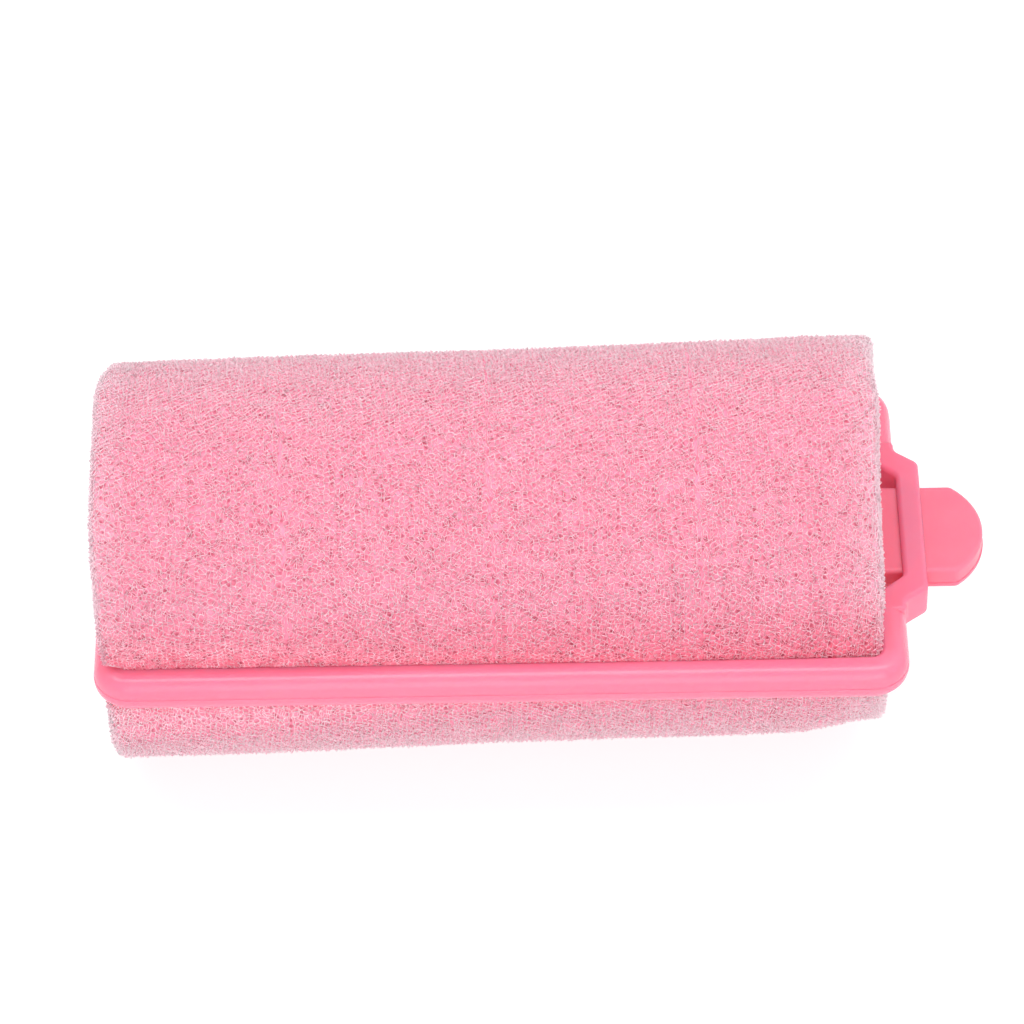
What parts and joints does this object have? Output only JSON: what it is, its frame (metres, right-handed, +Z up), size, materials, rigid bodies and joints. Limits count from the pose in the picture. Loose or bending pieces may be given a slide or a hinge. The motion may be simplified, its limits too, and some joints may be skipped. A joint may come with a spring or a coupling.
{
  "type": "foam hair roller",
  "caption": "Foam sleeve on a flat plastic bar, with a hinged clamp frame that closes round it and latches on the bar's thumb tab to hold wound hair.",
  "frame": {"origin": "middle of the small flat on the foam's underside, below the middle of the foam's length", "axes": "+X along the roller towards the thumb tab, +Y across it in the clamp frame's plane, +Z up from the rest flat"},
  "size_m": [0.0797, 0.0376, 0.0347],
  "materials": {
    "foam": "matte",
    "bar_plastic": "satin",
    "frame_plastic": "gloss"
  },
  "bodies": {
    "roller_core": {"core_bar": "bar_plastic", "foam_sleeve": "foam"},
    "clamp": {"clamp_frame": "frame_plastic"}
  },
  "joints": [
    {"name": "frame_hinge", "type": "hinge", "parent": "roller_core", "child": "clamp", "pos_m": [-0.03335, 0, 0.01724], "axis": [0, -1, 0], "range_deg": [0, 150]}
  ]
}
